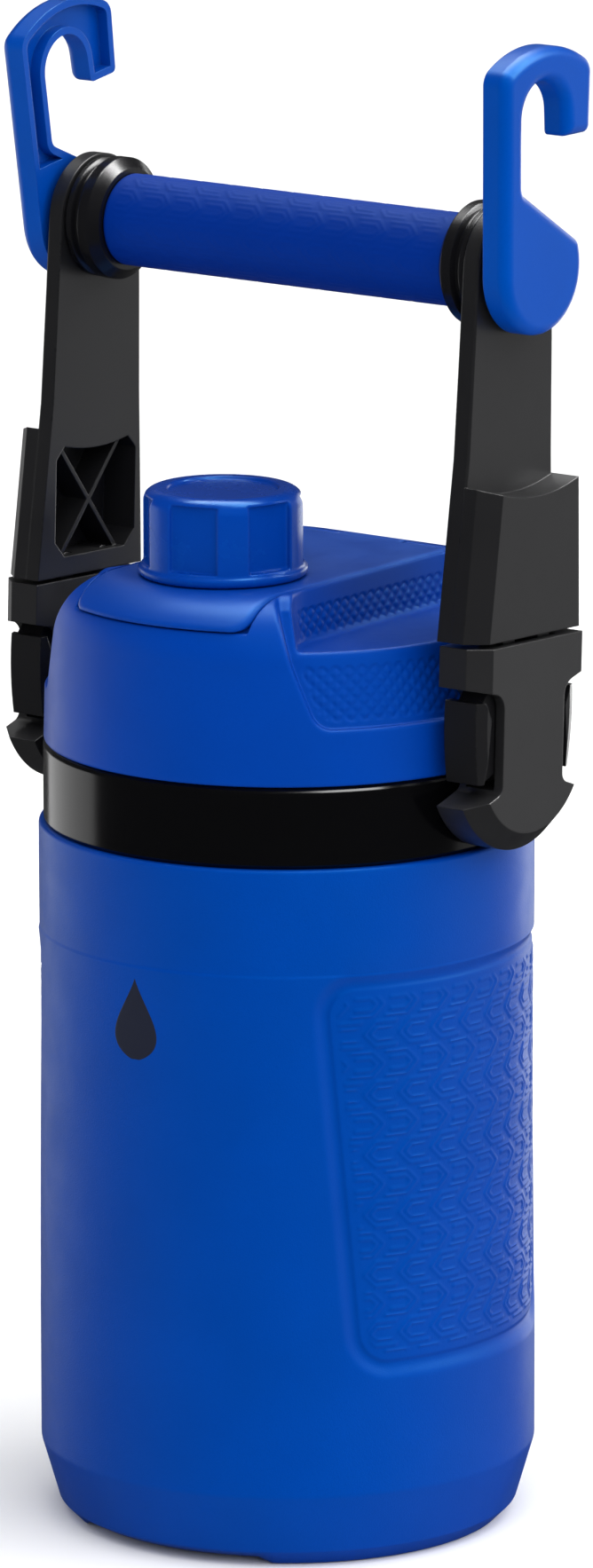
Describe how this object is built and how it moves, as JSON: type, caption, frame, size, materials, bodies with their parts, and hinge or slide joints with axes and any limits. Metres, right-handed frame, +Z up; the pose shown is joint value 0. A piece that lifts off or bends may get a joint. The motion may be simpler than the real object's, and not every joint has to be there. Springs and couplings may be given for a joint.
{
  "type": "insulated water jug",
  "caption": "Insulated water jug with a screw lid, a flip-up spout cover with a fluted cap, and a swinging carry handle with folding fence hooks.",
  "frame": {"origin": "centre of the base, on the surface that the jug stands on", "axes": "+Z up; -Y is the front, where the spout is; the grip lies along X"},
  "size_m": [0.1726, 0.1428, 0.4333],
  "materials": {
    "shell_blue": "matt, finely pebbled",
    "liner": "smooth",
    "foam": "cellular foam",
    "ring_black": "gloss",
    "lid_blue": "semi-gloss",
    "plate_blue": "semi-gloss",
    "cap_blue": "semi-gloss",
    "pan_grey": "smooth",
    "seal": "silicone, matt",
    "pin_steel": "drawn steel",
    "arm_black": "satin",
    "socket_black": "satin",
    "prong_black": "satin",
    "core_black": "smooth",
    "grip_blue": "soft, finely ribbed",
    "hook_blue": "semi-gloss"
  },
  "bodies": {
    "jug": {"outer_shell": "shell_blue", "inner_liner": "liner", "foam_insulation": "foam", "neck_ring": "ring_black"},
    "lid_seal": {"lid_gasket": "seal"},
    "lid": {"lid_shell": "lid_blue", "lid_liner": "pan_grey", "lid_foam": "foam", "hinge_pin": "pin_steel"},
    "plate": {"flip_plate": "plate_blue"},
    "cap_seal": {"cap_gasket": "seal"},
    "cap": {"cap": "cap_blue"},
    "handle": {"socket_left": "socket_black", "socket_right": "socket_black", "arm_left": "arm_black", "arm_right": "arm_black", "collar_left": "arm_black", "collar_right": "arm_black", "grip_core": "core_black", "grip_sleeve": "grip_blue"},
    "hook_left": {"hook_left": "hook_blue"},
    "hook_right": {"hook_right": "hook_blue"},
    "prong_left_front": {"prong_left_front": "prong_black"},
    "prong_left_rear": {"prong_left_rear": "prong_black"},
    "prong_right_front": {"prong_right_front": "prong_black"},
    "prong_right_rear": {"prong_right_rear": "prong_black"}
  },
  "joints": [
    {"name": "lid_rise", "type": "slide", "parent": "jug", "child": "lid_seal", "axis": [0, 0, 1], "range_m": [0, 0.0121]},
    {"name": "lid_turn", "type": "hinge", "parent": "lid_seal", "child": "lid", "pos_m": [0, 0, 0.25], "axis": [0, 0, 1], "range_deg": [0, 540]},
    {"name": "plate_flip", "type": "hinge", "parent": "lid", "child": "plate", "pos_m": [0, 0.042, 0.2759], "axis": [-1, 0, 0], "range_deg": [0, 40]},
    {"name": "cap_rise", "type": "slide", "parent": "plate", "child": "cap_seal", "axis": [0, 0, 1], "range_m": [0, 0.0051]},
    {"name": "cap_turn", "type": "hinge", "parent": "cap_seal", "child": "cap", "pos_m": [0, -0.0296, 0.29], "axis": [0, 0, 1], "range_deg": [0, 450]},
    {"name": "handle_swing", "type": "hinge", "parent": "jug", "child": "handle", "pos_m": [0, 0, 0.216], "axis": [1, 0, 0], "range_deg": [-135, 140]},
    {"name": "hook_left_turn", "type": "hinge", "parent": "handle", "child": "hook_left", "pos_m": [0, 0.00594, 0.37069], "axis": [1, 0, 0], "range_deg": [-180, 180]},
    {"name": "hook_right_turn", "type": "hinge", "parent": "handle", "child": "hook_right", "pos_m": [0, 0.00594, 0.37069], "axis": [1, 0, 0], "range_deg": [-180, 180]},
    {"name": "squeeze_left_front", "type": "hinge", "parent": "handle", "child": "prong_left_front", "pos_m": [0, -0.00641, 0.27049], "axis": [1, 0, 0], "range_deg": [0, 5], "stiffness_Nm_per_rad": 0.25},
    {"name": "squeeze_left_rear", "type": "hinge", "parent": "handle", "child": "prong_left_rear", "pos_m": [0, 0.01057, 0.26983], "axis": [-1, 0, 0], "range_deg": [0, 5], "stiffness_Nm_per_rad": 0.25},
    {"name": "squeeze_right_front", "type": "hinge", "parent": "handle", "child": "prong_right_front", "pos_m": [0, -0.00641, 0.27049], "axis": [1, 0, 0], "range_deg": [0, 5], "stiffness_Nm_per_rad": 0.25},
    {"name": "squeeze_right_rear", "type": "hinge", "parent": "handle", "child": "prong_right_rear", "pos_m": [0, 0.01057, 0.26983], "axis": [-1, 0, 0], "range_deg": [0, 5], "stiffness_Nm_per_rad": 0.25}
  ],
  "couplings": [
    {"joint": "lid_rise", "follows": "lid_turn", "m_per_rad": 0.0012732},
    {"joint": "cap_rise", "follows": "cap_turn", "m_per_rad": 0.00063662}
  ]
}
